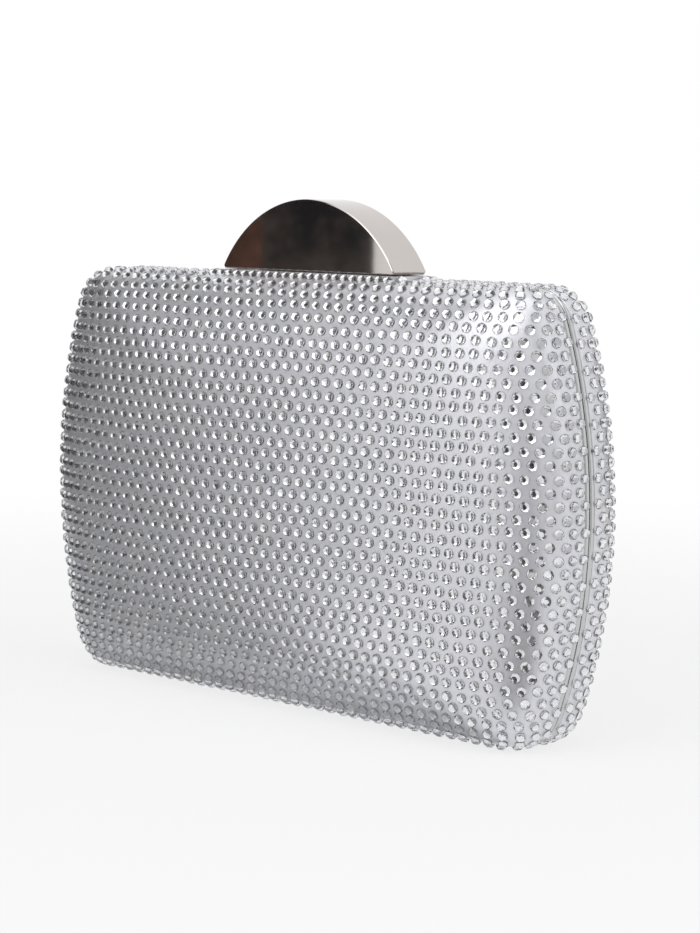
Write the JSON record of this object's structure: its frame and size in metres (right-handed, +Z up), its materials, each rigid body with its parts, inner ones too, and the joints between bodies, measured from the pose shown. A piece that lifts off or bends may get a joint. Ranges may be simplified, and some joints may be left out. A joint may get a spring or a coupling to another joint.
{
  "type": "minaudiere",
  "caption": "Hard-shell evening clutch: two crystal-set pillow halves hinged along the bottom, with a metal rim and a half-moon push knob that frees its spring catch.",
  "frame": {"origin": "middle of the underside of the closed bag, on the seam plane, at the lowest level of the stones", "axes": "+X along the width, +Y to the rear, +Z up to the knob; the front half is on -Y"},
  "size_m": [0.181, 0.043, 0.1288],
  "materials": {
    "crystal": "clear faceted stones",
    "satin": "silver satin, semi-gloss",
    "shell": "moulded",
    "lining": "grey satin lining",
    "rim": "polished nickel",
    "knob": "mirror polished nickel",
    "hinge": "nickel-plated sheet",
    "rivet": "nickel plated",
    "lock": "nickel plated",
    "spring_steel": "bright spring steel"
  },
  "bodies": {
    "rear_half": {"rear_crystals": "crystal", "rear_cover": "satin", "rear_shell": "shell", "rear_lining": "lining", "rear_frame": "rim", "rear_hinge_leaf": "hinge", "hinge_pin": "hinge", "rear_hinge_rivets": "rivet", "lock_plate": "lock", "lock_plate_rivets": "rivet", "knob_seat": "rim", "return_springs": "spring_steel"},
    "front_half": {"front_crystals": "crystal", "front_cover": "satin", "front_shell": "shell", "front_lining": "lining", "front_frame": "rim", "front_hinge_leaf": "hinge", "front_hinge_rivets": "rivet", "catch_tongue": "spring_steel", "tongue_spacer": "lock", "tongue_rivets": "rivet"},
    "knob": {"knob_shell": "knob", "knob_bar": "lock", "guide_stems": "lock", "stem_clips": "spring_steel", "plunger": "lock"}
  },
  "joints": [
    {"name": "front_open", "type": "hinge", "parent": "rear_half", "child": "front_half", "pos_m": [0, 0, 0.001], "axis": [1, 0, 0], "range_deg": [0, 95], "deforming": ["catch_tongue"]},
    {"name": "knob_press", "type": "slide", "parent": "rear_half", "child": "knob", "axis": [0, 0, -1], "range_m": [0, 0.0009], "stiffness_N_per_m": 1500, "springref_m": -0.001, "deforming": ["return_springs"]}
  ]
}
